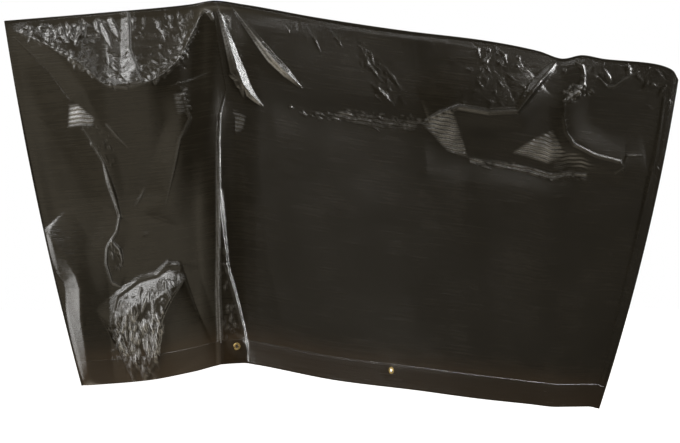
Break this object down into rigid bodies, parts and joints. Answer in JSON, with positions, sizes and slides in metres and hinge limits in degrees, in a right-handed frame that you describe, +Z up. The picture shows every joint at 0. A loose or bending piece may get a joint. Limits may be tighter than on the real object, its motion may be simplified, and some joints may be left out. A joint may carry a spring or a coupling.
{
  "type": "bicycle cover",
  "caption": "Hollow tarpaulin bag, open at the bottom, draped as it hangs over a bicycle, with brass eyelets in its hem.",
  "frame": {"origin": "middle of the cover's box, at the height of its lowest corner", "axes": "+X along the bicycle toward its rear wheel, +Y toward the side away from the viewer, +Z up"},
  "size_m": [1.9565, 0.5984, 1.02],
  "materials": {
    "tarpaulin": "satin woven polyethylene, dark olive brown",
    "hem": "satin woven polyethylene, doubled, warm brown where light comes through",
    "brass": "dull polished"
  },
  "bodies": {
    "root": {"panel_near": "tarpaulin", "panel_far": "tarpaulin", "hem_near_front": "hem", "hem_near_rear": "hem", "hem_far_front": "hem", "hem_far_rear": "hem", "eyelet_near_front": "brass", "eyelet_near_middle": "brass", "eyelet_far_front": "brass", "eyelet_far_middle": "brass"}
  },
  "joints": []
}
